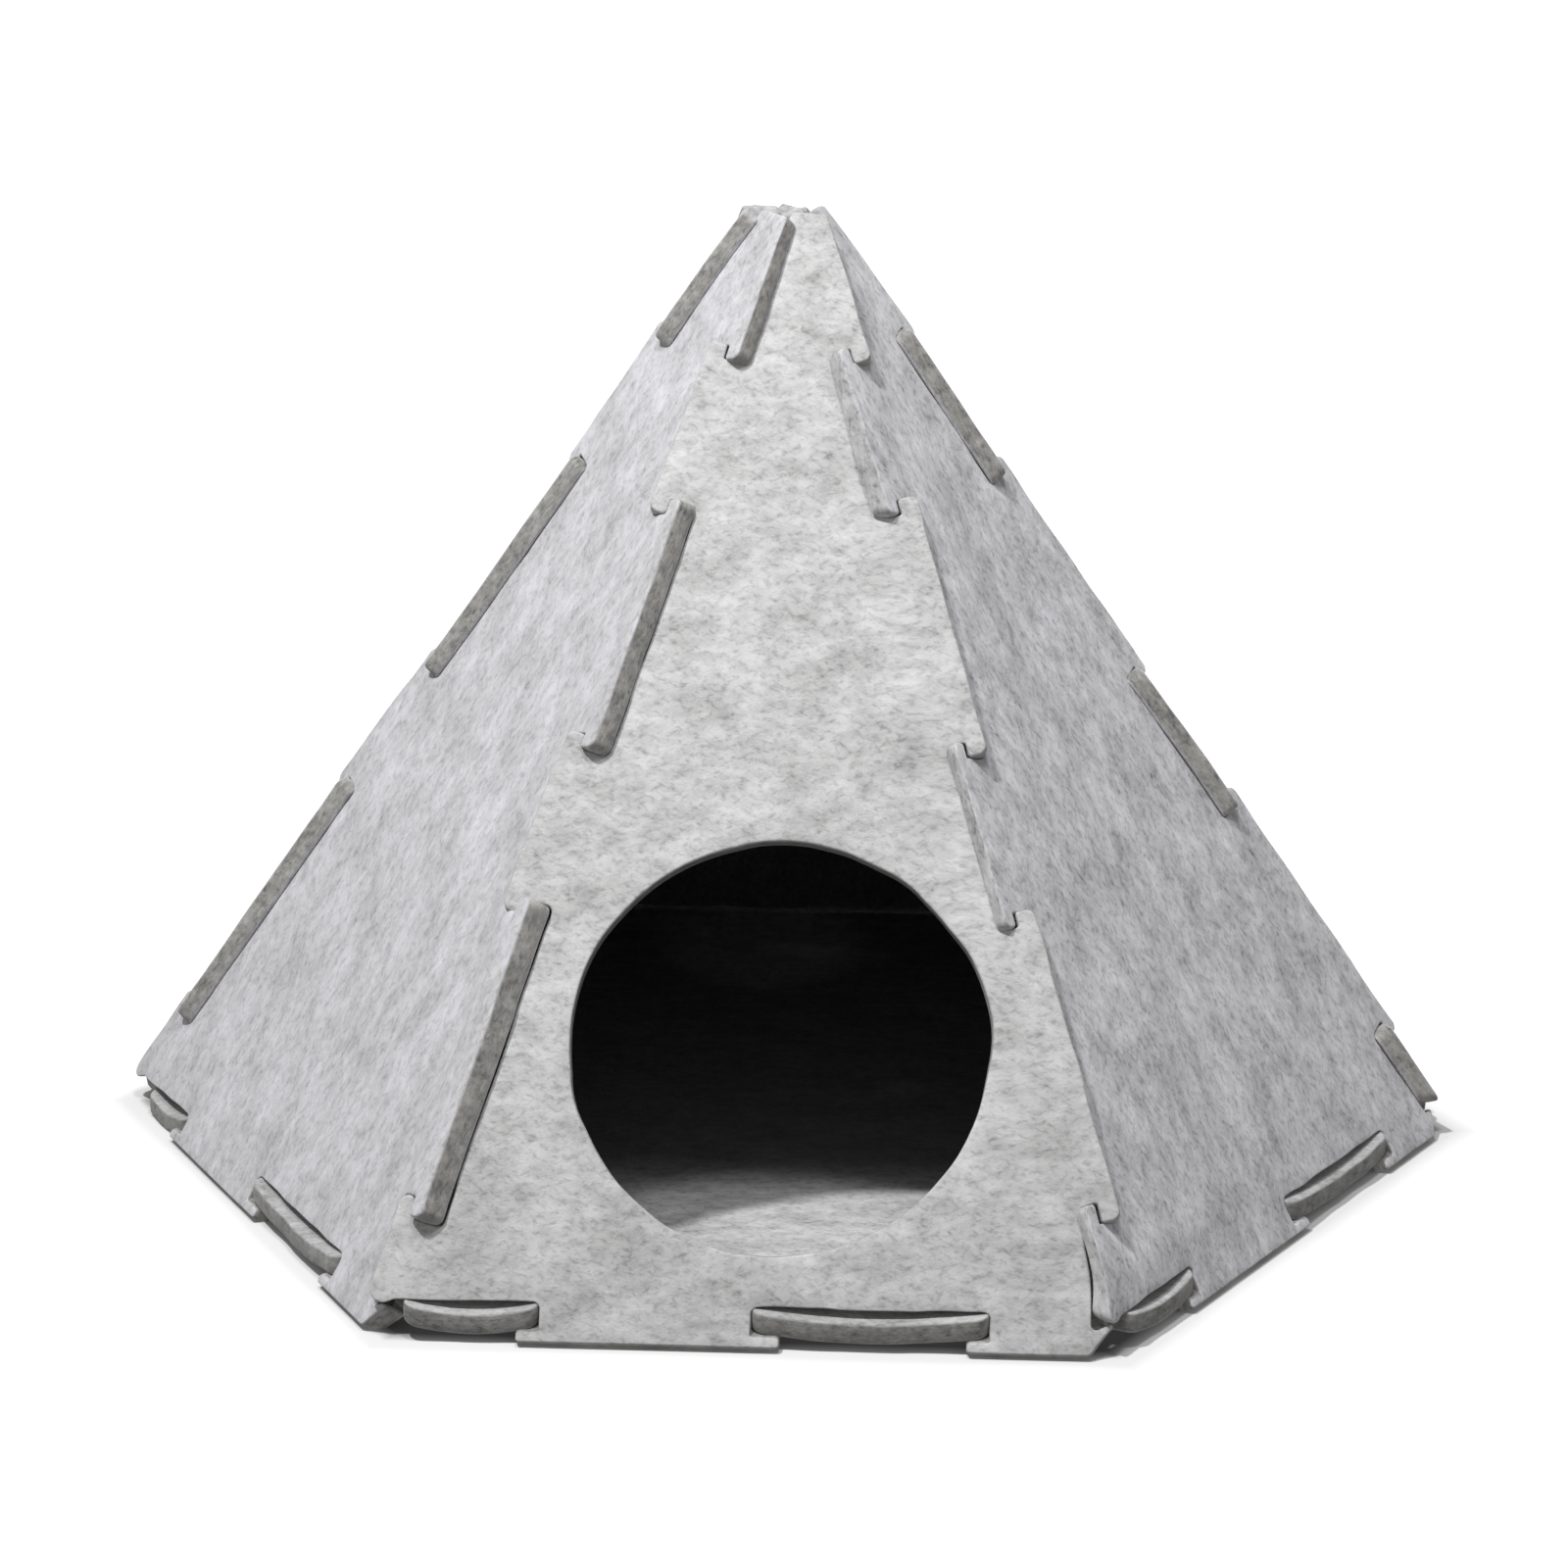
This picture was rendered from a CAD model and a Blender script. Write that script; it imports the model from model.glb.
import math

import bpy
import numpy as np
from mathutils import Matrix, Vector
from mathutils.geometry import delaunay_2d_cdt


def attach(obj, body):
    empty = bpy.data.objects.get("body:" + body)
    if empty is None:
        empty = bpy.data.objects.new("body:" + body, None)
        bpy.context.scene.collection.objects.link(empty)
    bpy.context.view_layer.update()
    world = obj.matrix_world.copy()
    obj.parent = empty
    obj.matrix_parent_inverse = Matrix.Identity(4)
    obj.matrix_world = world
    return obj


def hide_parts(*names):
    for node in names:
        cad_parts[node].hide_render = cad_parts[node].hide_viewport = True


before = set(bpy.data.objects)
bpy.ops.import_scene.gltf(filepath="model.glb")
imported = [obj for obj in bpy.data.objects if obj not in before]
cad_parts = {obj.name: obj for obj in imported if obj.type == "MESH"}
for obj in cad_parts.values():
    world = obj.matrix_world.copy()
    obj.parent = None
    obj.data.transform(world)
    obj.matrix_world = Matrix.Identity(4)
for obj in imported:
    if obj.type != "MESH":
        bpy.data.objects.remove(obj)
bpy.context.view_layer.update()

# Cat tent of thick felt: six side panels hook together in a hexagonal pyramid without its tip,
# and a base panel closes it below. Sizes are in millimetres, and the finished meshes in metres.

MM = 0.001

# Driving sizes of the tent. The clearance is negative, because the soft pieces press on each other.
SIDES = 6
BASE_SIDE = 310.0
TIP_HEIGHT = 450.7
TIP_CUT_SHARE = 0.058
FELT = 9.0
EDGE_LIFT = 3.0
CLEARANCE = -0.1

# Slanted edges: where tabs and notches change over, measured down the seam from the missing tip.
# The front panel's own two seams differ a little, and the tabs over its right edge reach less far.
CHANGES = (100.0, 171.4, 286.0, 358.0, 491.4)
TAB_REACH = 9.0
LEFT_SEAM_CHANGES = (98.8, 171.4, 280.5, 356.2, 490.6)
RIGHT_SEAM_CHANGES = (100.0, 169.6, 281.5, 357.2, 486.0)
RIGHT_SEAM_REACHES = (8.5, 6.4, 7.4)
NECK_GAPS = (3.2, 3.2, 3.2, 3.2, 4.2)
OVERHANGS = (3.25, 3.25, 3.25, 3.25, 4.25)
HEAD_RADIUS = 4.0
HEAD_SHARE = 0.48
HEAD_INNER_RADIUS = 1.5
HEAD_INNER = 0.4
NECK_RADIUS = 0.8
ROOT_RADIUS = 2.5
TOP_CORNER_RADIUS = 2.0
TOP_SNUG = 3.0

# Tooth at the foot of each right edge, under the lowest tab of the next panel
TOOTH_ROOT_ALONG = 533.6
TOOTH_TIP = (531.0, 0.8, 1.1)
TOOTH_FOOT = (140.0, 0.0, 3.0)
SHY_TOOTH = 4.0
SHY_FOOT_SHARE = 0.4

# Entrance in the front panel, centred a little to the right
ENTRANCE_CENTRE = (8.2, 125.5)
ENTRANCE_RADIUS = 87.7

# Base panel: flat on the floor in the middle, lifted at its rim where its tabs pass over the hooks
BASE_FLAT = 215.0
BASE_RIM = 250.0
RIM_LIFT = 6.5
BASE_TAB_END = 264.5
BASE_TAB_RADIUS = 6.0
TAB_SAG = 2.6
TAB_END_RISE = 1.2
TAB_BEND = (BASE_RIM - 4, BASE_RIM + 8)
BACK_SAG = -0.3
DEEP_IN = (-110.0, -70.0)
CORNER_TAB = (-143.0, -87.5)
SHORT_TAB_START = -133.0
MIDDLE_TAB = (0.4, 98.6)

# Slots for the base tabs
SLOT_TOP = 17.0
SLOT_SIDE_GAP = 0.3
SLOT_RADIUS = 3.0
FOOT_CORNER_RADIUS = 5.5
FOOT_CORNER_SHARE = 0.6
HOOK_LENGTHS = (12.0, 9.5)
HOOK_RADIUS = 2.0
MOUTH_RADIUS = 1.5
CORNER_NOTCH_BEND = -147.6
CORNER_NOTCH_END = (-170.0, 9.0)
CORNER_DROP = 5.0
SLOT_DROP, BEND_DROP = 0.5, 0.8
CORNER_DROP_START = (245, 285)

# Felt as it is cut: rounding of the cut edge, a slight bulge in it, how uneven it is, and the steps of
# the outline and of the net that fills it
CUT_ROUNDING = 1.1
THIN_ROUNDING = 0.8
CUT_BULGE = 0.25
CUT_WAVER = 0.4
CUT_WAVES = (20, 80)
THIN_CALM = 0.8
OUTLINE_STEP = 2.4
SHORTEST = 0.05
NET_STEP = 6.0
NET_MARGIN = 0.55
SAME_POINT = 1e-6

# How the set-up tent stands: its upper part is a little twisted and slimmer, and its top tips back.
# A pair of heights, or of places in y, says from where to where a move grows or fades.
TWIST = 3.6
TWIST_SHARES = (0.35, 0.65)
TWIST_HEIGHTS = ((170, 300), (300, 380))
SLIMMER = 2.3
SLIMMER_HEIGHTS = (170, 240)
TOP_DRIFT = 1.0
DRIFT_HEIGHTS = (330, 410)
TOP_TIP = 2.4
TIP_HEIGHTS = (290, 415)
TIP_BACK = (2, 16)

# The seam at the front panel's right bows out. Its pairs across and behind are shares of the reach.
SEAM_BOW = 5.0
BOW_FOOT, BOW_TOP = (6, 34), (305, 395)
BOW_INNER, BOW_OUTER, BOW_BEHIND = (0.38, 0.46), (0.56, 0.9), (-0.6, -0.2)

# The tabs at the front panel's left curl out, and those at its right are pinched
LIP = 4.2
LIP_SWELL = 0.34
LIP_EDGE, LIP_FOOT = (-24, -2), (12, 40)
LIP_FADES = ((0.6, 215, 270), (0.4, 380, 430))
PINCH = 0.35
PINCH_EDGE, PINCH_FOOT = (-8, -3), (8, 50)

# How uneven the felt is: strength, shortest and longest wave, and where it becomes free to move
PANEL_WAVE = (0.55, 60, 220)
PANEL_FREE, PANEL_FREE_UP = (14, 60), (10, 60)
BASE_WAVE = (0.3, 50, 160)
BASE_FREE = (190, 215)

# Seeds of the waves in the outlines and in the faces
PANEL_LINE_SEED, BASE_LINE_SEED = 11, 23
PANEL_SEED, BASE_SEED = 31, 71

# Where the felt round the slots runs level through the panel, and where that fades
SLOT_FADE = 8
LEVEL_FOOT, LEVEL_TOP, LEVEL_EDGE = (0.5, 3.5), (18, 45), (140, 160)

# Where the cut is thin, pale or dark, and where the felt lies inside the tent
THIN_TOOTH, THIN_HOOK = (12, 25), (5, 14)
PALE_EDGE, PALE_FOOT, PALE_TOP = (-20, -12), (12, 22), (-4, -2)
TOP_PALENESS = 0.6
INNER_FACE, INNER_EDGE = (0.7 * FELT, 0.98 * FELT), (-9, -3)
RIM_BAND, RIM_DEPTH, RIM_FOOT = (0.8, 1.6), (0.1, 2.0), -60
SHADED_FOOT = (10, 110)
FOOT_SHADE = 0.13
INNER_BASE, BASE_TABS = (246, 252), (253, 257)
TAB_SHADE = 0.3

# Sizes that follow from them
base_apothem = BASE_SIDE * math.cos(math.pi / SIDES)
slope = math.atan2(TIP_HEIGHT, base_apothem)
slant_length = math.hypot(TIP_HEIGHT, base_apothem)
seam_length = math.hypot(slant_length, BASE_SIDE / 2)
seam_across = BASE_SIDE / 2 / seam_length
seam_down = slant_length / seam_length
face_turn = math.acos(1 - math.sin(slope) ** 2 * (1 - math.cos(2 * math.pi / SIDES)))
notch_depth = (FELT + CLEARANCE) / math.sin(face_turn)
top_up = slant_length * (1 - TIP_CUT_SHARE)
hook_top = RIM_LIFT - CLEARANCE


def seam_corner(side, along, across, radius=0.0):
    """A corner so far down the seam from the missing tip, and so far out: x, up the panel, radius."""
    x = along * seam_across + across * seam_down
    up = slant_length - along * seam_down + across * seam_across
    return side * x, up, radius


def tab_end(side, changes, number, downward, reach=TAB_REACH, depth=notch_depth):
    """The end of a tab: root in the notch, neck, and the round head that hooks past the change-over."""
    neck = changes[number] + downward * NECK_GAPS[number]
    head = changes[number] - downward * OVERHANGS[number]
    return [
        seam_corner(side, neck, -depth, ROOT_RADIUS),
        seam_corner(side, neck, HEAD_INNER, NECK_RADIUS),
        seam_corner(side, head, HEAD_INNER, HEAD_INNER_RADIUS),
        seam_corner(side, head, reach, min(HEAD_RADIUS, HEAD_SHARE * reach)),
    ]


def top_corner(side, across):
    """Where a line along the seam, so far across it, meets the panel's top cut."""
    along = (slant_length - top_up + across * seam_across) / seam_down
    return seam_corner(side, along, across, TOP_CORNER_RADIUS)


def up_at_height(height):
    """Height above the floor on the outer face, measured up the panel instead."""
    return (height - EDGE_LIFT) / math.sin(slope)


def right_edge(changes, shy, depth):
    """Right edge, top to bottom: tabs at the top and below every second change-over, then the tooth.

    The tooth is drawn in by shy, and the notches between are as deep as depth.
    """
    return [
        top_corner(1, TAB_REACH),
        *reversed(tab_end(1, changes, 0, -1, TAB_REACH, depth)),
        *tab_end(1, changes, 1, 1, TAB_REACH, depth),
        *reversed(tab_end(1, changes, 2, -1, TAB_REACH, depth)),
        *tab_end(1, changes, 3, 1, TAB_REACH, depth),
        *reversed(tab_end(1, changes, 4, -1, TAB_REACH, depth)),
        seam_corner(1, TOOTH_ROOT_ALONG, -notch_depth, ROOT_RADIUS),
        seam_corner(1, TOOTH_TIP[0], TOOTH_TIP[1] - shy, TOOTH_TIP[2]),
        (TOOTH_FOOT[0] - SHY_FOOT_SHARE * shy, *TOOTH_FOOT[1:]),
    ]


def foot_edge(reach, drop):
    """Foot, right to left: the slot of the middle base tab between two hooks, then the corner notch.

    The corner notch is lower by drop at its outer end, and less so further in.
    """
    hook, top = up_at_height(hook_top), up_at_height(SLOT_TOP)
    left, right = MIDDLE_TAB[0] - SLOT_SIDE_GAP, MIDDLE_TAB[1] + SLOT_SIDE_GAP
    notch = CORNER_TAB[1] + SLOT_SIDE_GAP
    return [
        (right - HOOK_LENGTHS[1], 0, MOUTH_RADIUS),
        (right - HOOK_LENGTHS[1], hook, HOOK_RADIUS),
        (right, hook, NECK_RADIUS),
        (right, top, SLOT_RADIUS),
        (left, top, SLOT_RADIUS),
        (left, hook, NECK_RADIUS),
        (left + HOOK_LENGTHS[0], hook, HOOK_RADIUS),
        (left + HOOK_LENGTHS[0], 0, MOUTH_RADIUS),
        (notch - HOOK_LENGTHS[1], 0, MOUTH_RADIUS),
        (notch - HOOK_LENGTHS[1], hook, HOOK_RADIUS),
        (notch, hook, NECK_RADIUS),
        (notch, top - SLOT_DROP * drop, SLOT_RADIUS),
        (CORNER_NOTCH_BEND, top - BEND_DROP * drop, 2 * SLOT_RADIUS),
        left_foot_corner(reach, drop),
    ]


def left_foot_corner(reach, drop):
    """Where the corner notch's sloping top meets the left edge."""
    edge_x, edge_up, _ = seam_corner(-1, seam_length, reach)
    bend_up = up_at_height(SLOT_TOP) - BEND_DROP * drop
    end_up = up_at_height(CORNER_NOTCH_END[1]) - drop
    fall = (bend_up - end_up) / (CORNER_NOTCH_BEND - CORNER_NOTCH_END[0])
    rise = seam_down / seam_across
    x = (bend_up - fall * CORNER_NOTCH_BEND - edge_up + rise * edge_x) / (rise - fall)
    return x, edge_up + rise * (x - edge_x), min(FOOT_CORNER_RADIUS, FOOT_CORNER_SHARE * reach)


def left_edge(changes, reaches):
    """Left edge, bottom to top, with its tabs where the right edge has notches; reaches runs downward.

    At the top it presses into the next panel's felt by TOP_SNUG.
    """
    return [
        *reversed(tab_end(-1, changes, 4, 1, reaches[2])),
        *tab_end(-1, changes, 3, -1, reaches[1]),
        *reversed(tab_end(-1, changes, 2, 1, reaches[1])),
        *tab_end(-1, changes, 1, -1, reaches[0]),
        *reversed(tab_end(-1, changes, 0, 1, reaches[0])),
        top_corner(-1, TOP_SNUG - notch_depth),
    ]


def base_side(turn, start):
    """One side of the base from its left corner: straight rim, corner tab from start, middle tab."""
    corner_x = BASE_RIM * math.tan(math.pi / SIDES)
    inner, outer, radius = -BASE_RIM, -BASE_TAB_END, BASE_TAB_RADIUS
    side = np.array([
        (-corner_x, inner, SLOT_RADIUS),
        (start, outer, radius),
        (CORNER_TAB[1], outer, radius),
        (CORNER_TAB[1], inner, CUT_ROUNDING),
        (MIDDLE_TAB[0], inner, CUT_ROUNDING),
        (MIDDLE_TAB[0], outer, radius),
        (MIDDLE_TAB[1], outer, radius),
        (MIDDLE_TAB[1], inner, CUT_ROUNDING),
    ])
    c, s = math.cos(turn), math.sin(turn)
    side[:, :2] = side[:, :2] @ np.array([[c, s], [-s, c]])
    return side


def rounded_line(corners, steps=8):
    """Closed line with rounded corners.

    Each arc's centre lies on its corner's bisector, radius / sin(half opening) away, and the arc turns
    about it from one touching point to the other, radius / tan(half opening) from the corner.
    """
    corners = np.asarray(corners, float)
    point, radius = corners[:, :2], corners[:, 2:]
    before = np.roll(point, 1, axis=0) - point
    after = np.roll(point, -1, axis=0) - point
    before /= np.linalg.norm(before, axis=1, keepdims=True)
    after /= np.linalg.norm(after, axis=1, keepdims=True)
    half = np.arccos(np.clip((before * after).sum(1, keepdims=True), -1, 1)) / 2
    middle = before + after
    middle /= np.linalg.norm(middle, axis=1, keepdims=True)
    centre = point + middle * radius / np.sin(half)
    start = point + before * radius / np.tan(half) - centre
    side = np.sign(before[:, :1] * after[:, 1:] - before[:, 1:] * after[:, :1])
    angle = -side * (math.pi - 2 * half) * np.linspace(0, 1, steps + 1)
    quarter = np.stack([-start[:, 1], start[:, 0]], axis=1)
    cos, sin = np.cos(angle)[..., None], np.sin(angle)[..., None]
    arcs = (centre[:, None] + cos * start[:, None] + sin * quarter[:, None]).reshape(-1, 2)
    moved = np.linalg.norm(arcs - np.roll(arcs, 1, axis=0), axis=1) > SHORTEST
    return arcs[moved]


def spaced(line, step):
    """Closed line whose long stretches are cut into equal parts of at most one step."""
    gap = np.roll(line, -1, axis=0) - line
    parts = np.maximum(1, np.ceil(np.hypot(gap[:, 0], gap[:, 1]) / step).astype(int))
    first = np.repeat(np.arange(len(line)), parts)
    begins = np.repeat(np.cumsum(parts) - parts, parts)
    share = (np.arange(parts.sum()) - begins) / parts[first]
    return line[first] + gap[first] * share[:, None]


def outward(line):
    """Outward miter of a closed line with its felt on the left: where a line one unit out runs."""
    edge = np.roll(line, -1, axis=0) - line
    edge /= np.linalg.norm(edge, axis=1, keepdims=True)
    normal = np.stack([edge[:, 1], -edge[:, 0]], axis=1)
    both = normal + np.roll(normal, 1, axis=0)
    return both / np.maximum(0.5, (both * normal).sum(1, keepdims=True))


def ripple(x, y, seed, shortest, longest, waves=14):
    """Sum of sine waves of seeded length, direction and phase, scaled to a mean square of one."""
    rng = np.random.default_rng(seed)
    number = 2 * math.pi / rng.uniform(shortest, longest, waves)
    heading, phase = rng.uniform(0, 2 * math.pi, (2, waves))
    run = x[..., None] * np.cos(heading) + y[..., None] * np.sin(heading)
    return np.sin(run * number + phase).sum(-1) * math.sqrt(2 / waves)


def smooth(value, low, high):
    """Smooth step: 3t^2 - 2t^3 of the share t of the way from low to high."""
    t = np.clip((value - low) / (high - low), 0, 1)
    return t * t * (3 - 2 * t)


def inside(points, lines):
    """Which points lie inside the closed lines, by the number of edges that a level ray crosses."""
    crossings = np.zeros(len(points), int)
    for line in lines:
        end = np.roll(line, -1, axis=0)
        over = (line[:, 1] > points[:, 1:]) != (end[:, 1] > points[:, 1:])
        rise = np.where(end[:, 1] == line[:, 1], 1e-9, end[:, 1] - line[:, 1])
        x = line[:, 0] + (points[:, 1:] - line[:, 1]) * (end[:, 0] - line[:, 0]) / rise
        crossings += (over & (x > points[:, :1])).sum(1)
    return crossings % 2 == 1


def flat_net(loops):
    """Triangles that fill the loops.

    Their corners are the loops' points and a triangular lattice inside. As far as the loops' edges
    allow, no corner lies in the circle through the three of another triangle.
    """
    low, high = loops[0].min(0), loops[0].max(0)
    row_step = NET_STEP * math.sqrt(3) / 2
    columns, rows = ((high - low) / (NET_STEP, row_step)).astype(int) + 1
    i, j = np.meshgrid(np.arange(columns), np.arange(rows), indexing="ij")
    lattice = np.stack([low[0] + (i + 0.5 * (j % 2)) * NET_STEP, low[1] + j * row_step], axis=-1)
    lattice = lattice.reshape(-1, 2)
    rim = np.concatenate(loops)
    lattice = lattice[inside(lattice, loops)]
    near = np.concatenate([
        np.linalg.norm(part[:, None] - rim, axis=2).min(1) for part in np.array_split(lattice, 8)])
    lattice = lattice[near > NET_MARGIN * NET_STEP]
    starts = np.cumsum([0] + [len(line) for line in loops])
    edges = np.concatenate([
        np.stack([np.arange(a, b), np.roll(np.arange(a, b), -1)], axis=1)
        for a, b in zip(starts[:-1], starts[1:])])
    points = np.concatenate([rim, lattice])
    found = delaunay_2d_cdt(list(map(Vector, points)), edges.tolist(), [], 0, SAME_POINT, False)
    if len(found[0]) != len(points):
        raise RuntimeError("an outline crosses itself")
    triangles = np.array(found[2])
    a, b, c = (points[triangles[:, k]] for k in range(3))
    triangles = triangles[inside((a + b + c) / 3, loops)]
    a, b, c = (points[triangles[:, k]] for k in range(3))
    turned = (b[:, 0] - a[:, 0]) * (c[:, 1] - a[:, 1]) < (b[:, 1] - a[:, 1]) * (c[:, 0] - a[:, 0])
    triangles[turned] = triangles[turned][:, ::-1]
    return lattice, triangles


def cut_profile():
    """Section of the cut edge from the upper face to the lower: how far in, how deep, and how much cut.

    A quarter circle of CUT_ROUNDING turns off each face, and the cut between them bulges a little.
    """
    turn = np.radians([0, 24, 48, 72])
    corner_in, corner_deep = 1 - np.sin(turn), 1 - np.cos(turn)
    middle = np.linspace(1, FELT / CUT_ROUNDING - 1, 5)
    bulge = CUT_BULGE / CUT_ROUNDING * np.sin(np.pi * middle * CUT_ROUNDING / FELT) ** 2
    inset = np.concatenate([corner_in, -bulge, corner_in[::-1]])
    depth = np.concatenate([corner_deep, middle, FELT / CUT_ROUNDING - corner_deep[::-1]])
    cut = np.concatenate([[0, 0, 0.15, 0.6], np.ones(5), [0.6, 0.15, 0, 0]])
    return inset, depth * CUT_ROUNDING, cut


class Slab:
    """A flat piece of felt with rounded cut edges, lying with its upper face at w = 0.

    points holds x, y and w for each vertex. The rim carries cut_profile along every outline, and the
    two faces fill the innermost lines with the same net of triangles.
    """

    def __init__(self, outlines, seed, narrow):
        inset, depth, cut = cut_profile()
        rows, rims, loops, facets, rim_uv = len(inset), [], [], [], []
        first = 0
        for outline in outlines:
            line = spaced(outline, OUTLINE_STEP)
            thin = narrow(line)
            waver = np.tanh(ripple(line[:, 0], line[:, 1], seed, *CUT_WAVES))
            waver = waver * CUT_WAVER * (1 - THIN_CALM * thin)
            line = line + outward(line) * waver[:, None]
            out = outward(line)
            rounding = CUT_ROUNDING + (THIN_ROUNDING - CUT_ROUNDING) * thin
            flat = line - out * (inset[:, None, None] * rounding[:, None])
            rims.append(np.concatenate(
                [flat, np.broadcast_to(-depth[:, None, None], flat.shape[:2] + (1,))], axis=2))
            loops.append(flat[0])
            count = len(line)
            row, place = np.meshgrid(np.arange(rows - 1), np.arange(count), indexing="ij")
            following = (place + 1) % count
            quads = np.stack([row * count + place, (row + 1) * count + place,
                              (row + 1) * count + following, row * count + following], axis=-1)
            facets.append(quads.reshape(-1, 4) + first)
            length = np.concatenate([[0], np.cumsum(np.linalg.norm(
                np.roll(line, -1, axis=0) - line, axis=1))])
            along = np.stack([length[place], length[place], length[place + 1], length[place + 1]], -1)
            deep = np.stack([depth[row], depth[row + 1], depth[row + 1], depth[row]], -1)
            rim_uv.append(np.stack([along, deep], -1).reshape(-1, 2))
            first += rows * count
        lattice, triangles = flat_net(loops)
        upper = np.concatenate([lattice, np.zeros((len(lattice), 1))], axis=1)
        lower = upper - (0, 0, FELT)
        counts = [len(line) for line in loops]
        starts = np.cumsum([0] + [rows * n for n in counts])
        top = [np.arange(n) + a for n, a in zip(counts, starts)]
        bottom = [t + (rows - 1) * n for t, n in zip(top, counts)]
        net = np.arange(len(lattice))
        top = np.concatenate(top + [net + first])
        bottom = np.concatenate(bottom + [net + first + len(lattice)])
        self.points = np.concatenate([r.reshape(-1, 3) for r in rims] + [upper, lower])
        self.quads = np.concatenate(facets)
        self.triangles = np.concatenate([top[triangles], bottom[triangles][:, ::-1]])
        self.rim_uv = np.concatenate(rim_uv)
        self.cut = np.concatenate(
            [np.repeat(cut, n) for n in counts] + [np.zeros(2 * len(lattice))])

    def mesh(self, name, place, offset, pale, deep, mottle, across=False):
        """The slab as a mesh in metres, its points put in place, with its two maps and its attributes.

        pale gives, for x and y, where the cut is nearly as pale as the faces. deep gives, for x, y and
        w, how deep inside the tent the felt lies. mottle is the strength of the felt's pattern, and
        across turns its grain from level to up and down.
        """
        points = place(self.points)
        corners = np.concatenate([self.quads.ravel(), self.triangles.ravel()])
        totals = np.concatenate([np.full(len(self.quads), 4), np.full(len(self.triangles), 3)])
        mesh = bpy.data.meshes.new(name)
        mesh.vertices.add(len(points))
        mesh.vertices.foreach_set("co", (points * MM).ravel())
        mesh.loops.add(len(corners))
        mesh.loops.foreach_set("vertex_index", corners)
        mesh.polygons.add(len(totals))
        mesh.polygons.foreach_set("loop_start", np.cumsum(totals) - totals)
        mesh.polygons.foreach_set("use_smooth", np.ones(len(totals), bool))
        flat = self.points[:, 1::-1] if across else self.points[:, :2]
        felt_uv = mesh.uv_layers.new(name="felt")
        felt_uv.uv.foreach_set("vector", ((flat[corners] + offset) * MM).ravel())
        rim = np.zeros((len(corners), 2))
        rim[:len(self.rim_uv)] = self.rim_uv * MM
        mesh.uv_layers.new(name="rim").uv.foreach_set("vector", rim.ravel())
        mesh.attributes.new("cut", "FLOAT", "POINT").data.foreach_set("value", self.cut)
        shown = pale(self.points[:, 0], self.points[:, 1])
        mesh.attributes.new("pale", "FLOAT", "POINT").data.foreach_set("value", shown)
        inner = deep(*self.points.T)
        mesh.attributes.new("inner", "FLOAT", "POINT").data.foreach_set("value", inner)
        mottled = np.full(len(points), mottle)
        mesh.attributes.new("mottle", "FLOAT", "POINT").data.foreach_set("value", mottled)
        mesh.update(calc_edges=True)
        mesh.validate()
        return mesh


def felt_piece(name, mesh, material):
    """A piece of felt that rides on the root body and stands for the node of the same name."""
    piece = bpy.data.objects.new(name + "_felt", mesh)
    bpy.context.scene.collection.objects.link(piece)
    mesh.materials.append(material)
    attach(piece, "root")
    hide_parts(name)
    return piece


def level_slots(points):
    """Shifts the felt round the slots up the panel with depth, so that they run level through it.

    Level means a rise of depth x cot(slope). Its weight is one beside the slots and fades with the
    distance, and at the left edge the shift follows the edge.
    """
    x, up, w = points.T
    left, right = MIDDLE_TAB[0] - SLOT_SIDE_GAP, MIDDLE_TAB[1] + SLOT_SIDE_GAP
    notch = CORNER_TAB[1] + SLOT_SIDE_GAP
    middle = smooth(x, left - SLOT_FADE, left) * (1 - smooth(x, right, right + SLOT_FADE))
    beside = np.maximum(middle, 1 - smooth(x, notch, notch + SLOT_FADE))
    weight = beside * smooth(up, *LEVEL_FOOT) * (1 - smooth(up, *LEVEL_TOP))
    shift = -w / math.tan(slope) * weight
    sideways = shift * seam_across / seam_down * smooth(-x, *LEVEL_EDGE)
    return np.stack([x + sideways, up + shift, w], axis=1)


def settle(x, y, z):
    """Moves the upper part as the set-up tent stands: twisted, slimmer, and tipped back at the top.

    The sideways moves grow by smooth steps of the height. The twist is greatest at the front and
    changes sign at the back, and the slimming is greatest at the side corners. The seam at the front
    panel's right bows out by smooth steps of the height, and of x and y over the reach there.
    """
    reach = BASE_SIDE * (1 - z / TIP_HEIGHT)
    low, high = (share * smooth(z, *heights) for share, heights in zip(TWIST_SHARES, TWIST_HEIGHTS))
    twist = TWIST * (low + high)
    sideways = -twist * y / (reach * math.cos(math.pi / SIDES))
    sideways = sideways - SLIMMER * smooth(z, *SLIMMER_HEIGHTS) * x / reach
    tip = TOP_TIP * smooth(z, *TIP_HEIGHTS) * (1 - smooth(y, *TIP_BACK))
    near = smooth(x / reach, *BOW_INNER) * (1 - smooth(x / reach, *BOW_OUTER))
    bow = SEAM_BOW * near * (1 - smooth(y / reach, *BOW_BEHIND))
    sideways = sideways + bow * smooth(z, *BOW_FOOT) * (1 - smooth(z, *BOW_TOP))
    return x + sideways - TOP_DRIFT * smooth(z, *DRIFT_HEIGHTS), y, z + tip


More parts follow.
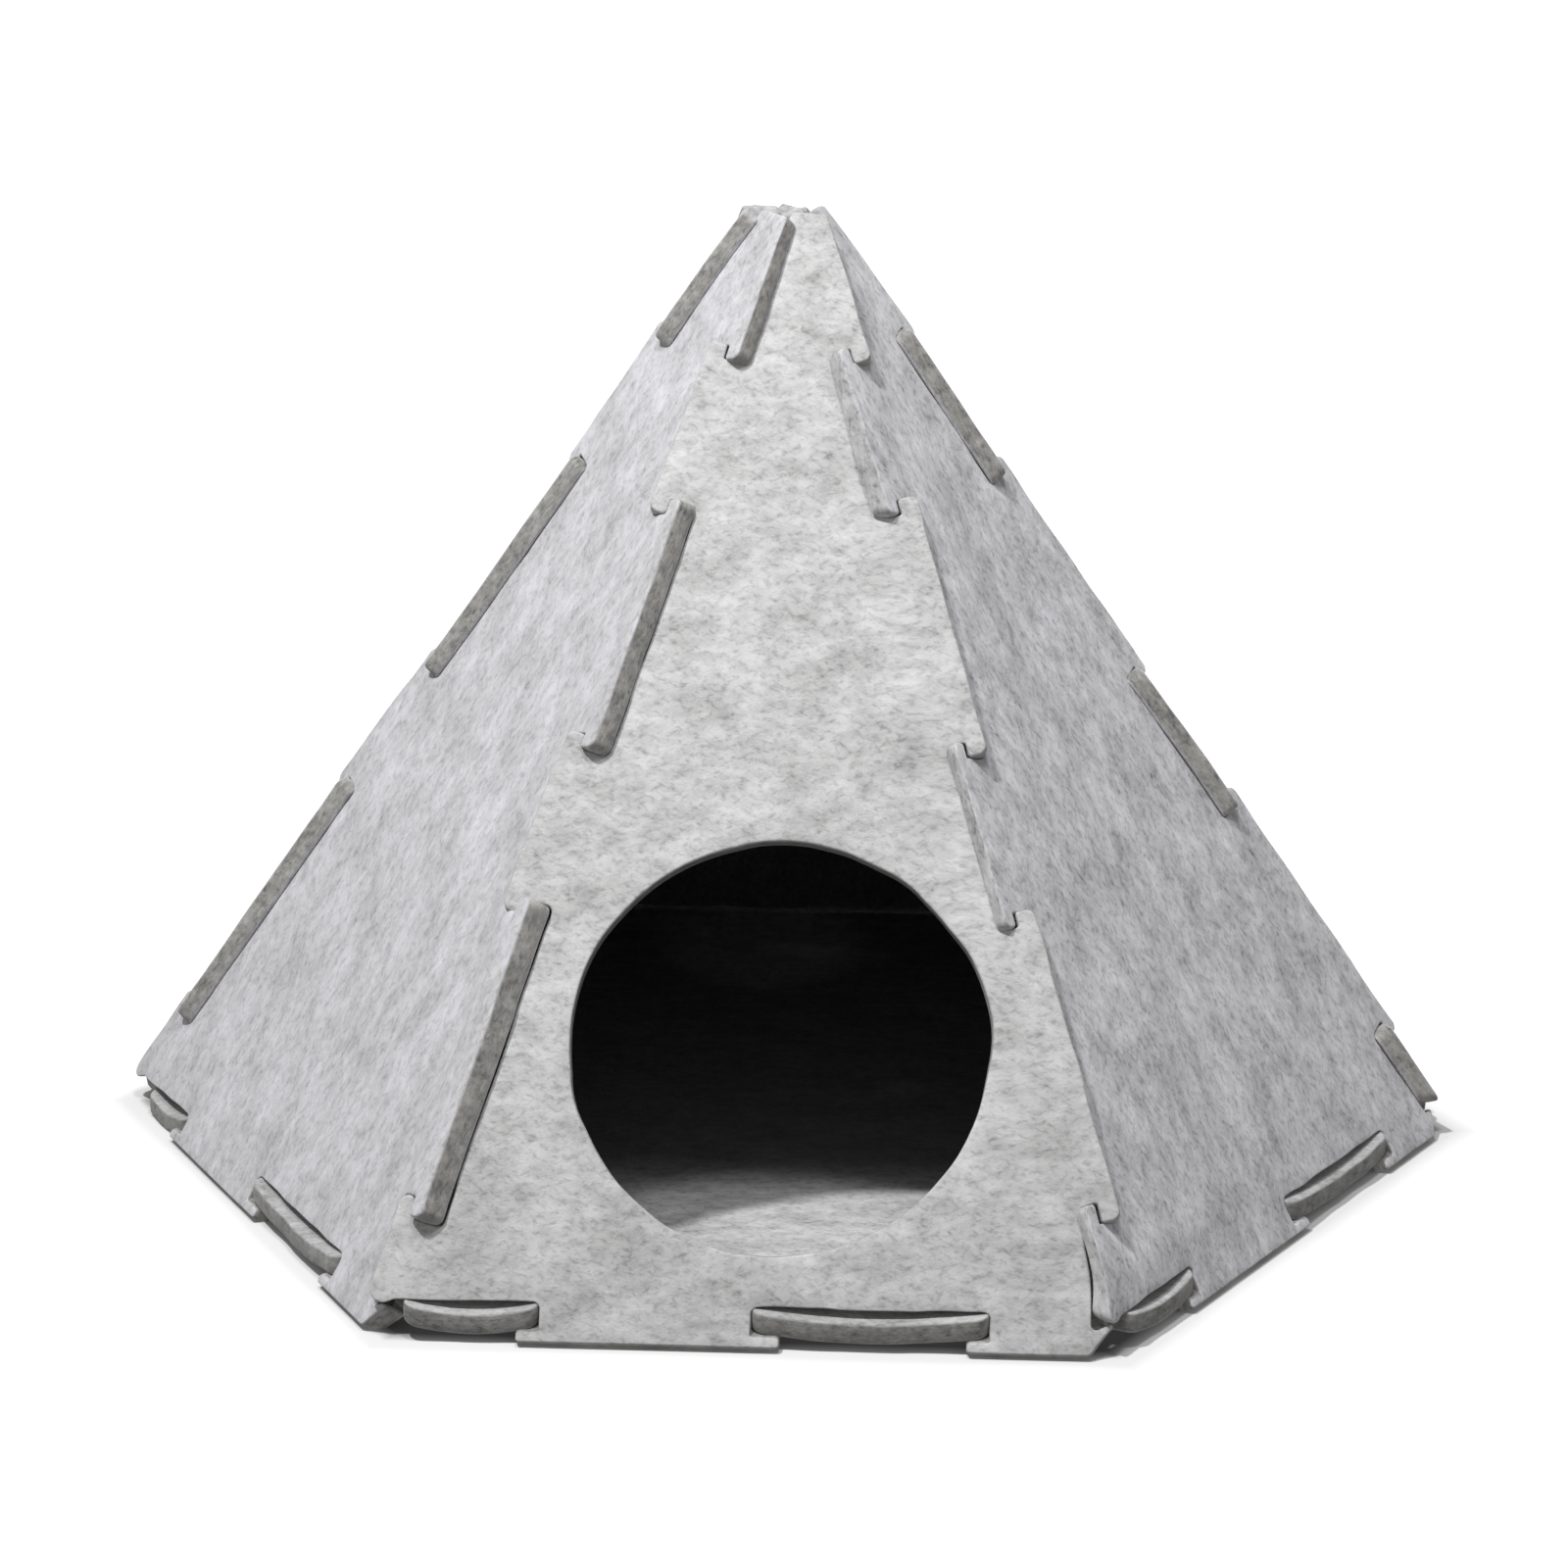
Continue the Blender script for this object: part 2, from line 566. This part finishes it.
def lean(k, seed, lips, pinch):
    """Places a side panel: uneven, slots level, foot worn flat on the floor, leaned back and turned.

    With lips its right edge is thicker and curls out, less and less up the panel. Its left edge is
    thinner by the share pinch, but for its foot.
    """

    def place(points):
        x, up, w = level_slots(points).T
        half = (slant_length - up) * seam_across / seam_down
        free = smooth(half - np.abs(x), *PANEL_FREE) * smooth(up, *PANEL_FREE_UP)
        w = w + PANEL_WAVE[0] * free * ripple(x, up, seed, *PANEL_WAVE[1:])
        w = w * (1 - pinch * smooth(-x - half, *PINCH_EDGE) * smooth(up, *PINCH_FOOT))
        if lips:
            first, second = (share * smooth(up, *heights) for share, *heights in LIP_FADES)
            lip = smooth(x - half, *LIP_EDGE) * (1 - first - second)
            w = w * (1 + LIP_SWELL * lip) + LIP * lip * smooth(up, *LIP_FOOT)
        lowest = (-EDGE_LIFT - w * math.cos(slope)) / math.sin(slope)
        up = np.maximum(up, lowest)
        y = -base_apothem + up * math.cos(slope) - w * math.sin(slope)
        z = EDGE_LIFT + up * math.sin(slope) + w * math.cos(slope)
        turn = k * 2 * math.pi / SIDES
        c, s = math.cos(turn), math.sin(turn)
        return np.stack(settle(x * c - y * s, x * s + y * c, np.maximum(z, 0)), axis=1)

    return place


def lay(points):
    """Lays the base on the floor: its rim rises by a smooth step of the distance to the nearest side.

    Outside the rim each tab in front sags in its middle and rises at its ends, by the square of the way
    there, and each tab behind does a little of the opposite. The left corner lies lower.
    """
    x, y, w = points.T
    turns = np.arange(SIDES) * 2 * math.pi / SIDES
    distance = x[:, None] * np.sin(turns) - y[:, None] * np.cos(turns)
    apothem = distance.max(1)
    side = turns[distance.argmax(1)]
    along = x * np.cos(side) + y * np.sin(side)
    rise = RIM_LIFT * smooth(apothem, BASE_FLAT, BASE_RIM)
    rise = rise - BEND_DROP * CORNER_DROP * smooth(-x, *CORNER_DROP_START)
    corner, middle = np.array([CORNER_TAB]).T, np.array([MIDDLE_TAB]).T
    left, right = np.where(along < sum(CORNER_TAB) / 4, corner, middle)
    share = np.clip((2 * along - left - right) / (right - left), -1, 1)
    sag = ((TAB_END_RISE + TAB_SAG) * share ** 2 - TAB_SAG) * np.where(np.cos(side) > 0, 1, BACK_SAG)
    rise += sag * smooth(apothem, *TAB_BEND)
    wave = BASE_WAVE[0] * ripple(x, y, BASE_SEED, *BASE_WAVE[1:])
    uneven = wave * (1 - smooth(apothem, *BASE_FREE)) * (w / FELT + 1)
    return np.stack([x, y, np.maximum(FELT + w + rise + uneven, 0)], axis=1)


def thin_parts(line):
    """One at the thin tooth at the right foot and at the low hooks of the slots, fading to nothing."""
    x, up, _ = seam_corner(1, *TOOTH_TIP)
    tooth = 1 - smooth(np.hypot(line[:, 0] - x, line[:, 1] - up), *THIN_TOOTH)
    return np.maximum(tooth, 1 - smooth(line[:, 1], *THIN_HOOK))


def pale_cuts(left):
    """How pale a side panel's cut is: TOP_PALENESS along its top, and left down its left edge."""

    def pale(x, up):
        edge = smooth(-x - (slant_length - up) * seam_across / seam_down, *PALE_EDGE)
        top = TOP_PALENESS * smooth(up, top_up + PALE_TOP[0], top_up + PALE_TOP[1])
        return np.maximum(left * edge * smooth(up, *PALE_FOOT), top)

    return pale


def through(x, up, w):
    """How deep inside the tent a side panel lies: one on its inner face, but for its tabs."""
    half = (slant_length - up) * seam_across / seam_down
    return smooth(-w, *INNER_FACE) * (1 - smooth(np.abs(x) - half, *INNER_EDGE))


def through_entrance(x, up, w):
    """As through, and the entrance's cut grows dark soon behind the outer face, but for its lower part.

    The foot of the panel is a little darker.
    """
    away = np.hypot(x - ENTRANCE_CENTRE[0], up - ENTRANCE_CENTRE[1]) - ENTRANCE_RADIUS
    upper = smooth(up, ENTRANCE_CENTRE[1] + RIM_FOOT, ENTRANCE_CENTRE[1])
    rim = (1 - smooth(away, *RIM_BAND)) * upper
    foot = FOOT_SHADE * (1 - smooth(up, *SHADED_FOOT))
    return np.maximum(through(x, up, w), np.maximum(rim * smooth(-w, *RIM_DEPTH), foot))


def far_in(x, y, w):
    """How deep inside the tent the base lies: nothing at the entrance, one behind it; darker tabs."""
    turns = np.arange(SIDES) * 2 * math.pi / SIDES
    apothem = (x[:, None] * np.sin(turns) - y[:, None] * np.cos(turns)).max(1)
    within = smooth(y, *DEEP_IN) * (1 - smooth(apothem, *INNER_BASE))
    return within + TAB_SHADE * smooth(apothem, *BASE_TABS)


# Materials
# Fibres of the felt: directions in degrees about the grain, length and width in metres
FIBRE_ANGLES = (24, -18)
FIBRE_LENGTH = 0.0044
FIBRE_WIDTH = 0.0024
DARKEST_FIBRES = 0.48

# Scales of the noises per metre, how far the slow one bends the rest, and how the clouds lie along
SWIRL_SCALE, SOFT_SCALE, CLOUD_SCALE, FINE_SCALE = 90, 170, 48, 1100
SWIRL_REACH = 0.003
ALONG_GRAIN = (0.6, 1, 1)

# For each part of the pattern: its middle value and its strength
FIBRE_PART, SOFT_PART, CLOUD_PART, FINE_PART = (0.43, 2.0), (0.5, 0.9), (0.5, 1.0), (0.5, 0.25)

# Cut edges: tone and tint, scales of the fibre lines along and through, strengths, and how dark a
# pale cut still is
CUT_TONE = 0.56
CUT_TINT = (1.02, 1.0, 0.95)
LINE_SCALES = (240, 900, 1.0)
LINE_STRENGTH, PATCH_STRENGTH = 1.3, 1.4
PALE_CUT = 0.2
CUT_START = 0.4

# Tone on the inside, and relief
INNER_TONE = 0.3
RELIEF_STRENGTH = 0.25
RELIEF_HEIGHT = 0.0006


def add(tree, kind, inputs=None, **settings):
    """Adds a node, sets its properties, and sets or links its inputs by name or number."""
    node = tree.nodes.new(kind)
    for key, value in settings.items():
        setattr(node, key, value)
    for key, value in (inputs or {}).items():
        if isinstance(value, bpy.types.NodeSocket):
            tree.links.new(value, node.inputs[key])
        else:
            node.inputs[key].default_value = value
    return node


def maths(tree, operation, a, b=0.0, c=0.0):
    """The result of one operation on up to three numbers."""
    return add(tree, "ShaderNodeMath", {0: a, 1: b, 2: c}, operation=operation).outputs[0]


def vector(tree, operation, a, b):
    """The result of one operation on two vectors, or on a vector and the number that scales it."""
    second = 3 if operation == "SCALE" else 1
    node = add(tree, "ShaderNodeVectorMath", {0: a, second: b}, operation=operation)
    return node.outputs["Value" if operation == "DOT_PRODUCT" else "Vector"]


def mix(tree, factor, a, b):
    """Two colours mixed by a factor."""
    return add(tree, "ShaderNodeMix", {"Factor": factor, 6: a, 7: b}, data_type="RGBA").outputs[2]


def attribute(tree, name):
    """A number that the mesh carries for each vertex."""
    return add(tree, "ShaderNodeAttribute", attribute_name=name).outputs["Fac"]


def noise(tree, place, scale, detail=2.0, roughness=0.5, distortion=0.0, output="Fac"):
    """Noise at a place, as a number or as a colour."""
    return add(tree, "ShaderNodeTexNoise", {
        "Vector": place, "Scale": scale, "Detail": detail, "Roughness": roughness,
        "Distortion": distortion}).outputs[output]


def span(tree, value, low, high, to_low, to_high):
    """A value between low and high, carried over to its share between to_low and to_high."""
    node = add(tree, "ShaderNodeMapRange", {
        "Value": value, "From Min": low, "From Max": high, "To Min": to_low, "To Max": to_high})
    return node.outputs[0]


def felt(name, tone, tint):
    """Needle felt: mottled grey fibres on the faces, darker and warmer lines of fibre on the cuts."""
    material = bpy.data.materials.new(name)
    material.use_nodes = True
    tree = material.node_tree
    shader = tree.nodes["Principled BSDF"]
    flat = add(tree, "ShaderNodeUVMap", uv_map="felt").outputs[0]
    rim = add(tree, "ShaderNodeUVMap", uv_map="rim").outputs[0]
    cut, inner, pale, mottle = (attribute(tree, key) for key in ("cut", "inner", "pale", "mottle"))

    # On the cuts the pattern follows the rim, and everywhere a slow noise bends it
    on_cut = maths(tree, "GREATER_THAN", cut, CUT_START)
    where = add(tree, "ShaderNodeMix", {"Factor": on_cut, 4: flat, 5: rim}, data_type="VECTOR")
    where = where.outputs[1]
    swirl = noise(tree, where, SWIRL_SCALE, 2, output="Color")
    bend = vector(tree, "SCALE", vector(tree, "SUBTRACT", swirl, (0.5, 0.5, 0.5)), SWIRL_REACH)
    bent = vector(tree, "ADD", where, bend)
    stretch = vector(tree, "MULTIPLY", bent, ALONG_GRAIN)
    soft = noise(tree, stretch, SOFT_SCALE, 3, 0.55)
    clouds = noise(tree, stretch, CLOUD_SCALE, 3, 0.55)
    fine = noise(tree, stretch, FINE_SCALE, 2, 0.6)

    # Fibres lie in two directions about the grain, and where either is dark the felt is dark
    fibres = DARKEST_FIBRES
    for angle in FIBRE_ANGLES:
        lie = add(tree, "ShaderNodeMapping", {
            "Vector": bent, "Location": (angle, 2 * angle, 0), "Rotation": (0, 0, math.radians(angle))})
        long = vector(tree, "MULTIPLY", lie.outputs[0], (1 / FIBRE_LENGTH, 1 / FIBRE_WIDTH, 1))
        fibres = maths(tree, "MINIMUM", noise(tree, long, 1.0, 3, 0.58), fibres)
    value = 0.0
    for part, (middle, strength) in (
            (fibres, FIBRE_PART), (soft, SOFT_PART), (clouds, CLOUD_PART), (fine, FINE_PART)):
        value = maths(tree, "MULTIPLY_ADD", maths(tree, "SUBTRACT", part, middle), strength, value)
    value = maths(tree, "MULTIPLY_ADD", value, mottle, 1.0)

    # Cut edges: lines of fibre along the cut, darker and lighter in patches
    layers = add(tree, "ShaderNodeMapping", {"Vector": rim, "Scale": LINE_SCALES})
    lines = noise(tree, layers.outputs[0], 1.0, 3, 0.65, 0.8)
    patches = noise(tree, rim, SOFT_SCALE, 3, 0.6)
    cut_value = value
    for part, strength in ((lines, LINE_STRENGTH), (patches, PATCH_STRENGTH)):
        cut_value = maths(tree, "MULTIPLY_ADD", maths(tree, "SUBTRACT", part, 0.5), strength, cut_value)

    tints = [(*[tone * t for t in one], 1) for one in tint]
    face_tint = mix(tree, span(tree, clouds, 0.4, 0.6, 0.0, 1.0), *tints)
    face_colour = vector(tree, "SCALE", face_tint, value)
    cut_colour = vector(tree, "SCALE", tuple(CUT_TONE * tone * t for t in CUT_TINT), cut_value)
    cut = maths(tree, "MULTIPLY", cut, span(tree, pale, 0.0, 1.0, 1.0, PALE_CUT))
    shade = span(tree, inner, 0.0, 1.0, 1.0, INNER_TONE)
    colour = vector(tree, "SCALE", mix(tree, cut, face_colour, cut_colour), shade)
    tree.links.new(colour, shader.inputs["Base Color"])

    # Relief: tangled fibres over a soft unevenness
    height = fine
    for part, strength in ((fibres, 0.7), (soft, 0.7), (patches, cut)):
        height = maths(tree, "MULTIPLY_ADD", part, strength, height)
    bump = add(tree, "ShaderNodeBump", {
        "Height": height, "Strength": RELIEF_STRENGTH, "Distance": RELIEF_HEIGHT})
    tree.links.new(bump.outputs[0], shader.inputs["Normal"])
    shader.inputs["Roughness"].default_value = 0.95
    shader.inputs["Specular IOR Level"].default_value = 0.15
    shader.inputs["Sheen Weight"].default_value = 0.25
    shader.inputs["Sheen Roughness"].default_value = 0.5
    return material


FELT_TONE = 0.5
NEUTRAL = ((1.0, 1.0, 0.995), (1.0, 1.0, 1.0))
COOL = ((1.0, 0.993, 1.025), (1.0, 0.991, 1.035))

front_felt = felt("felt_front", FELT_TONE, NEUTRAL)
side_felt = felt("felt_side", FELT_TONE, COOL)
base_felt = felt("felt_base", FELT_TONE, NEUTRAL)

# Pieces: each side panel's change-overs down its right seam, and how far its left tabs reach
changes = [RIGHT_SEAM_CHANGES, *[CHANGES] * 4, LEFT_SEAM_CHANGES]
reaches = [(TAB_REACH,) * 3, RIGHT_SEAM_REACHES, *[(TAB_REACH,) * 3] * 4]
around = np.linspace(0, -2 * math.pi, 240, endpoint=False)[:, None]
entrance_line = np.hstack([np.cos(around), np.sin(around)]) * ENTRANCE_RADIUS + ENTRANCE_CENTRE
SIDE_NAMES = ("panel_front", "panel_front_right", "panel_back_right",
              "panel_back", "panel_back_left", "panel_front_left")

# For each side panel: where its pattern starts, how strong it is, and how pale the left edge's cut is
FIRST_OFFSET, OFFSET_STEP = (170, 260), (610, 130)
MOTTLES = (0.92, 1.2, 1.05, 0.9, 0.9, 0.85)
PALE_LEFT = (0.3, 0.6, 0.0, 0.0, 0.0, 0.0)
BASE_OFFSET = (2900, 900)
BASE_PALE = 0.15

for k, name in enumerate(SIDE_NAMES):
    shy, drop = SHY_TOOTH if k == 1 else 0, CORNER_DROP if k == 5 else 0
    depth = notch_depth * (1 - PINCH * (k == 0))
    line = rounded_line([
        *right_edge(changes[k], shy, depth),
        *foot_edge(reaches[k][2], drop),
        *left_edge(changes[k - 1], reaches[k])])[::-1]
    lines = [line, entrance_line] if k == 0 else [line]
    slab = Slab(lines, PANEL_LINE_SEED + k, thin_parts)
    place = lean(k, PANEL_SEED + k, k == 5, PINCH * (k == 1))
    offset = np.add(FIRST_OFFSET, np.multiply(OFFSET_STEP, k))
    deep = through if k else through_entrance
    mesh = slab.mesh(name + "_felt", place, offset, pale_cuts(PALE_LEFT[k]), deep, MOTTLES[k], k > 0)
    felt_kind, slot = (front_felt, "felt_front") if k == 0 else (side_felt, "felt_side")
    piece = felt_piece(name, mesh, felt_kind)

tab_starts = [CORNER_TAB[0]] * 5 + [SHORT_TAB_START]
base_line = rounded_line(np.concatenate([
    base_side(k * math.pi / 3, start) for k, start in enumerate(tab_starts)]))
slab = Slab([base_line], BASE_LINE_SEED, lambda line: np.zeros(len(line)))
mesh = slab.mesh(
    "base_panel_felt", lay, BASE_OFFSET, lambda x, y: np.full(len(x), BASE_PALE), far_in, 1.0)
piece = felt_piece("base_panel", mesh, base_felt)

# Floor: dark where the tent hides it, and then ever brighter away from the tent, in metres from its
# middle to the nearest side
FLOOR_HALF = 9.0
HIDDEN_TONE, FLOOR_TONE = 0.2, 0.76
HIDDEN, NEAR_GLOW, FAR_GLOW = (0.256, 0.264), (0.27, 0.3), (0.4, 1.2)
GLOW = 0.6

floor_mesh = bpy.data.meshes.new("floor")
corners = [(x * FLOOR_HALF, y * FLOOR_HALF, 0) for x, y in ((-1, -1), (1, -1), (1, 1), (-1, 1))]
floor_mesh.from_pydata(corners, [], [(0, 1, 2, 3)])
floor = bpy.data.objects.new("floor", floor_mesh)
bpy.context.scene.collection.objects.link(floor)
floor.visible_diffuse = False
floor_paint = bpy.data.materials.new("floor_paint")
floor_paint.use_nodes = True
tree = floor_paint.node_tree
shader = tree.nodes["Principled BSDF"]
shader.inputs["Roughness"].default_value = 0.9
shader.inputs["Specular IOR Level"].default_value = 0.0
shader.inputs["Emission Color"].default_value = (1, 1, 1, 1)
where = add(tree, "ShaderNodeTexCoord").outputs["Object"]
reach = 0.0
for k in range(3):
    across = (math.sin(k * math.pi / 3), -math.cos(k * math.pi / 3), 0)
    side = vector(tree, "DOT_PRODUCT", where, across)
    reach = maths(tree, "MAXIMUM", maths(tree, "ABSOLUTE", side), reach)
tone = span(tree, reach, *HIDDEN, HIDDEN_TONE, FLOOR_TONE)
tree.links.new(tone, shader.inputs["Base Color"])
near, far = (span(tree, reach, *pair, 0.0, GLOW) for pair in (NEAR_GLOW, FAR_GLOW))
tree.links.new(maths(tree, "ADD", near, far), shader.inputs["Emission Strength"])
floor_mesh.materials.append(floor_paint)

# Light
SKY = 0.33
AIM = Vector((0, 0, 0.2))
world = bpy.data.worlds.new("studio")
world.use_nodes = True
world.node_tree.nodes["Background"].inputs[0].default_value = (1, 1, 1, 1)
world.node_tree.nodes["Background"].inputs[1].default_value = SKY
bpy.context.scene.world = world


def lamp(name, towards, distance, size, power):
    """A round soft lamp that shines at the tent's middle, so far from it in the direction towards."""
    light = bpy.data.lights.new(name, "AREA")
    light.shape, light.size, light.energy = "DISK", size, power
    holder = bpy.data.objects.new(name, light)
    holder.location = AIM + Vector(towards).normalized() * distance
    holder.rotation_euler = Vector(towards).to_track_quat("Z", "Y").to_euler()
    bpy.context.scene.collection.objects.link(holder)


lamp("left_lamp", (-0.297, -0.303, 0.905), 2.416, 0.16, 44.0)
lamp("front_lamp", (0.037, -0.387, 0.921), 1.6, 0.3, 8.0)

# Camera at the photograph's viewing angle
LENS, SENSOR = 105.75, 36
SHIFT = (-0.0009, -0.0888)
TARGET = Vector((0, 0, 0.2284))
AZIMUTH, ELEVATION, DISTANCE, ROLL = math.radians(3.0), math.radians(15.6), 2.092, math.radians(0.2)
back = Vector((math.sin(AZIMUTH) * math.cos(ELEVATION),
               -math.cos(AZIMUTH) * math.cos(ELEVATION), math.sin(ELEVATION)))
camera_data = bpy.data.cameras.new("camera")
camera_data.lens, camera_data.sensor_width = LENS, SENSOR
camera_data.shift_x, camera_data.shift_y = SHIFT
camera_data.clip_start, camera_data.clip_end = 0.05, 60
camera = bpy.data.objects.new("camera", camera_data)
turn = (-back).to_track_quat("-Z", "Y").to_matrix() @ Matrix.Rotation(ROLL, 3, "Z")
camera.matrix_world = Matrix.Translation(TARGET + back * DISTANCE) @ turn.to_4x4()
bpy.context.scene.collection.objects.link(camera)
bpy.context.scene.camera = camera
bpy.context.scene.view_settings.view_transform = "Standard"
